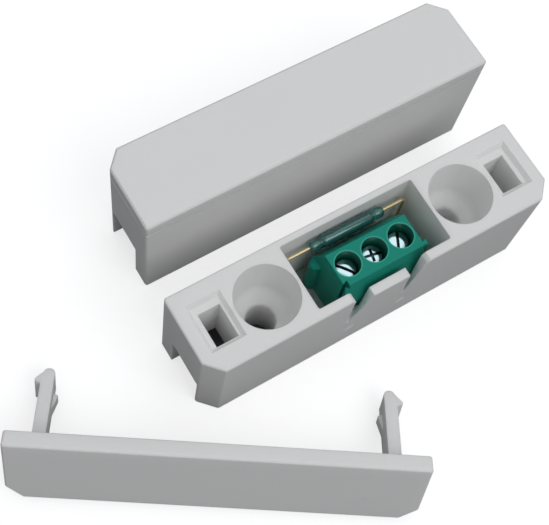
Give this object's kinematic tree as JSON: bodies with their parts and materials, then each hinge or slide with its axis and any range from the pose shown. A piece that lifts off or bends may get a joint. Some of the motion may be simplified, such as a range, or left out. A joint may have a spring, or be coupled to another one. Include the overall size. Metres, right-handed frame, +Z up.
{
  "type": "magnetic door contact",
  "caption": "Surface-mount magnetic door contact: an open switch unit with reed switch and screw terminals, its loose snap cover, and a closed magnet unit.",
  "frame": {"origin": "centre of the switch unit's underside, on its mounting face", "axes": "+X along the switch unit's length, -Y through its cable window and cut corners, +Z up out of the mounting face"},
  "size_m": [0.099, 0.069, 0.0231],
  "materials": {
    "housing": "fine matt moulded ABS",
    "terminal_plastic": "satin green polyamide",
    "board": "glass-fibre laminate under pale lacquer",
    "screw_metal": "bright zinc plated",
    "cage_metal": "satin nickel plated",
    "contact_metal": "tinned",
    "lead_metal": "pale gold flash",
    "solder": "satin",
    "reed_glass": "clear green",
    "magnet": "matt ferrite"
  },
  "bodies": {
    "contact_set": {"switch_base": "housing", "switch_cover": "housing", "circuit_board": "board", "terminal_body": "terminal_plastic", "terminal_pin_1": "contact_metal", "terminal_pin_2": "contact_metal", "terminal_pin_3": "contact_metal", "reed_glass": "reed_glass", "reed_blade_left": "lead_metal", "reed_blade_right": "lead_metal", "solder_joints": "solder", "magnet_base": "housing", "magnet_cover": "housing", "magnet_carrier": "housing", "bar_magnet": "magnet"},
    "screw_1": {"terminal_screw_1": "screw_metal"},
    "cage_1": {"terminal_cage_1": "cage_metal"},
    "screw_2": {"terminal_screw_2": "screw_metal"},
    "cage_2": {"terminal_cage_2": "cage_metal"},
    "screw_3": {"terminal_screw_3": "screw_metal"},
    "cage_3": {"terminal_cage_3": "cage_metal"}
  },
  "joints": [
    {"name": "screw_1_turn", "type": "hinge", "parent": "contact_set", "child": "screw_1", "pos_m": [-0.0037, -0.0009, 0.015], "axis": [0, 0, -1], "range_deg": [0, 1800]},
    {"name": "cage_1_lift", "type": "slide", "parent": "contact_set", "child": "cage_1", "axis": [0, 0, 1], "range_m": [0, 0.00225]},
    {"name": "screw_2_turn", "type": "hinge", "parent": "contact_set", "child": "screw_2", "pos_m": [0.0013, -0.0009, 0.015], "axis": [0, 0, -1], "range_deg": [0, 1800]},
    {"name": "cage_2_lift", "type": "slide", "parent": "contact_set", "child": "cage_2", "axis": [0, 0, 1], "range_m": [0, 0.00225]},
    {"name": "screw_3_turn", "type": "hinge", "parent": "contact_set", "child": "screw_3", "pos_m": [0.0063, -0.0009, 0.015], "axis": [0, 0, -1], "range_deg": [0, 1800]},
    {"name": "cage_3_lift", "type": "slide", "parent": "contact_set", "child": "cage_3", "axis": [0, 0, 1], "range_m": [0, 0.00225]}
  ],
  "couplings": [
    {"joint": "screw_1_turn", "follows": "cage_1_lift", "rad_per_m": 13963},
    {"joint": "screw_2_turn", "follows": "cage_2_lift", "rad_per_m": 13963},
    {"joint": "screw_3_turn", "follows": "cage_3_lift", "rad_per_m": 13963}
  ]
}
